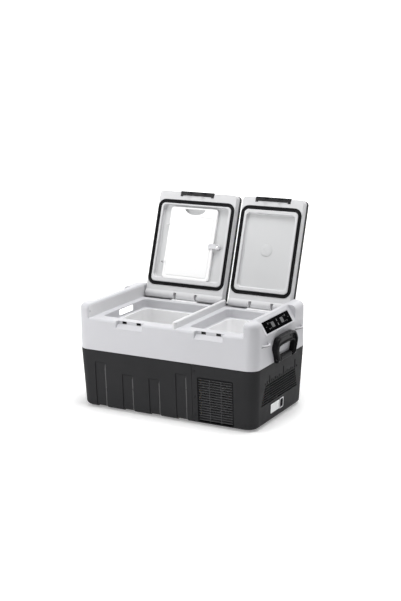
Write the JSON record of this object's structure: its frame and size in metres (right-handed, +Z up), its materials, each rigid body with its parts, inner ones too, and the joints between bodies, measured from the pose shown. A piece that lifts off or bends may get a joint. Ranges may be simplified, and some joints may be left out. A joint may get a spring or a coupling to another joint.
{
  "type": "compressor cooler fridge",
  "caption": "Portable two-compartment compressor cooler box with rear-hinged insulated lids, front latches, folding end handles and a sloped control panel.",
  "frame": {"origin": "centre of the base on the ground, at the underside of the middle foot", "axes": "+X to the end with the control panel, +Y to the back where the lids hinge, +Z up"},
  "size_m": [0.682, 0.5022, 0.6581],
  "materials": {
    "charcoal_shell": "fine moulded texture",
    "charcoal_grille": "fine moulded texture",
    "zinc_steel": "black coated sheet",
    "rubber_black": "matt",
    "grey_shell": "satin",
    "liner_white": "smooth",
    "foam": "rigid foam",
    "evaporator_sheet": "mill",
    "compressor_black": "painted",
    "fin_aluminium": "mill",
    "copper_tube": "drawn",
    "black_plastic": "moulded",
    "circuit_board": "solder mask",
    "grey_plastic": "satin",
    "contact_brass": "plated",
    "label_white": "printed film left blank",
    "panel_black": "high gloss",
    "display_grey": "unlit display",
    "lens_white": "diffusing",
    "hinge_white": "satin",
    "pin_steel": "ground",
    "handle_black": "fine moulded texture",
    "screw_dark": "blackened",
    "lid_grey": "satin",
    "lid_black": "fine moulded texture",
    "board_white": "satin polyethylene",
    "clip_grey": "satin",
    "latch_black": "satin"
  },
  "bodies": {
    "cabinet": {"lower_shell": "charcoal_shell", "machine_cover": "charcoal_shell", "front_grille": "charcoal_grille", "base_plate": "zinc_steel", "rubber_feet": "rubber_black", "upper_shell": "grey_shell", "liner_deep": "liner_white", "liner_shallow": "liner_white", "insulation_foam": "foam", "evaporator_deep": "evaporator_sheet", "evaporator_shallow": "evaporator_sheet", "compressor": "compressor_black", "compressor_grommets": "rubber_black", "condenser_fins": "fin_aluminium", "condenser_tubes": "copper_tube", "refrigerant_pipes": "copper_tube", "filter_drier": "copper_tube", "fan_housing": "black_plastic", "fan_motor": "black_plastic", "power_board": "circuit_board", "power_inlet": "grey_plastic", "inlet_pins": "contact_brass", "inlet_plate": "label_white", "panel_bezel": "grey_shell", "panel_glass": "panel_black", "panel_displays": "display_grey", "display_board": "circuit_board", "lamp_housing": "grey_plastic", "lamp_lens": "lens_white", "tie_down_loops": "grey_plastic", "latch_keepers": "black_plastic", "hinge_base_left": "hinge_white", "hinge_base_right": "hinge_white", "hinge_pin_left": "pin_steel", "hinge_pin_right": "pin_steel", "handle_base_left": "handle_black", "handle_base_right": "handle_black", "handle_pins": "pin_steel", "cover_screws": "screw_dark"},
    "lid_left": {"lid_left_liner": "lid_grey", "lid_left_foam": "foam", "lid_left_cover": "lid_black", "lid_left_seal": "rubber_black", "cutting_board": "board_white", "clip_screw": "pin_steel", "latch_pin_left": "pin_steel"},
    "lid_right": {"lid_right_liner": "lid_grey", "lid_right_foam": "foam", "lid_right_cover": "lid_black", "lid_right_seal": "rubber_black", "port_cap": "lid_grey", "latch_pin_right": "pin_steel"},
    "latch_left": {"latch_left": "latch_black"},
    "latch_right": {"latch_right": "latch_black"},
    "board_clip": {"board_clip": "clip_grey"},
    "handle_left": {"handle_left": "handle_black"},
    "handle_right": {"handle_right": "handle_black"},
    "fan_rotor": {"fan_rotor": "black_plastic"}
  },
  "joints": [
    {"name": "lid_left_hinge", "type": "hinge", "parent": "cabinet", "child": "lid_left", "pos_m": [-0.113, 0.168, 0.3146], "axis": [1, 0, 0], "range_deg": [0, 108.5]},
    {"name": "lid_right_hinge", "type": "hinge", "parent": "cabinet", "child": "lid_right", "pos_m": [0.17, 0.168, 0.3146], "axis": [1, 0, 0], "range_deg": [0, 108.5]},
    {"name": "latch_left_pivot", "type": "hinge", "parent": "lid_left", "child": "latch_left", "pos_m": [-0.124, 0.28703, 0.64701], "axis": [1, 0, 0], "range_deg": [-35, 0]},
    {"name": "latch_right_pivot", "type": "hinge", "parent": "lid_right", "child": "latch_right", "pos_m": [0.16, 0.28703, 0.64701], "axis": [1, 0, 0], "range_deg": [-35, 0]},
    {"name": "board_clip_pivot", "type": "hinge", "parent": "lid_left", "child": "board_clip", "pos_m": [-0.02, 0.21379, 0.48487], "axis": [0, 0.9483, -0.3173], "range_deg": [0, 90]},
    {"name": "handle_left_pivot", "type": "hinge", "parent": "cabinet", "child": "handle_left", "pos_m": [-0.33, 0, 0.206], "axis": [0, -1, 0], "range_deg": [0, 80]},
    {"name": "handle_right_pivot", "type": "hinge", "parent": "cabinet", "child": "handle_right", "pos_m": [0.33, 0, 0.206], "axis": [0, 1, 0], "range_deg": [0, 80]},
    {"name": "fan_spin", "type": "hinge", "parent": "cabinet", "child": "fan_rotor", "pos_m": [0.181, -0.155, 0.083], "axis": [0, 1, 0], "continuous": true}
  ]
}
